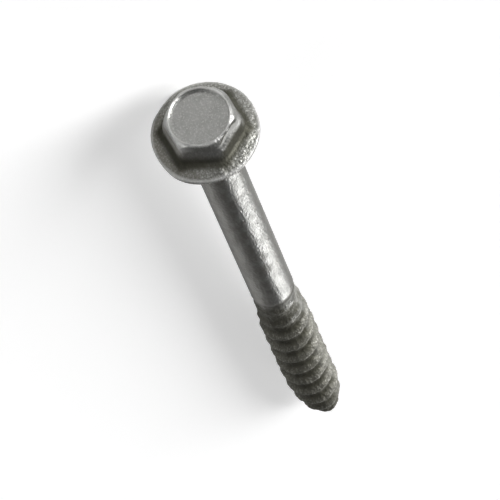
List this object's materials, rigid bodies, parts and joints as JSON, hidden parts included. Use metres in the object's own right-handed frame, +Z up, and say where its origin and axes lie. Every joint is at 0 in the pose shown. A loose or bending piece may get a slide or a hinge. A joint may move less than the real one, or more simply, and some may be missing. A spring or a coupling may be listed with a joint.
{
  "type": "structural connector screw",
  "caption": "Galvanised structural screw with a hex washer head, a recessed top, a plain shank and a coarse wood thread running onto a blunt point, for fixing steel connectors to timber.",
  "frame": {"origin": "middle of the screw's box, on the surface it lies on", "axes": "+X runs along the screw towards its head, +Z is up; the screw lies on its washer and thread"},
  "size_m": [0.0669, 0.0092, 0.0093],
  "materials": {
    "galvanised_steel": "mechanically galvanised, satin grey with a speckled grain, brighter on its edges"
  },
  "bodies": {
    "root": {"connector_screw": "galvanised_steel"}
  },
  "joints": []
}
